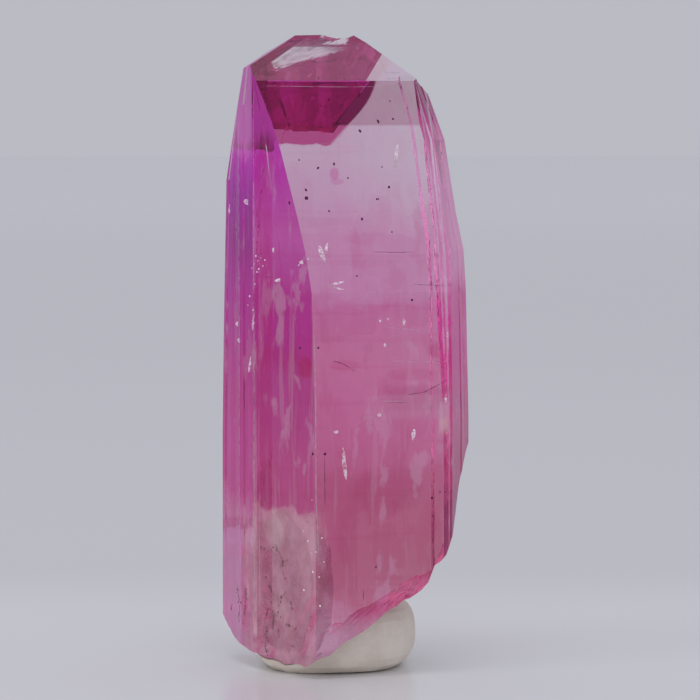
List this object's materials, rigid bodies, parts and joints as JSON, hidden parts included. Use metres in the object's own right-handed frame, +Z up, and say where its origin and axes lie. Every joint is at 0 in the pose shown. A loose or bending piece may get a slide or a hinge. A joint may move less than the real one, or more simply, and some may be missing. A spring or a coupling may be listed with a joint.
{
  "type": "tanzanite crystal on a putty rest",
  "caption": "Clear pink zoisite crystal, a striated prism with a slanted tip, standing on its broken base in a lump of white putty.",
  "frame": {"origin": "on the putty's flat underside, below the crystal's axis", "axes": "+Z up along the crystal, -Y the front face of the picture, +X its right"},
  "size_m": [0.01, 0.007, 0.0252],
  "materials": {
    "crystal_pink": "clear pink crystal with glossy natural faces and a broken base",
    "putty_white": "soft matte mounting putty"
  },
  "bodies": {
    "root": {"crystal": "crystal_pink", "putty_rest": "putty_white"}
  },
  "joints": []
}
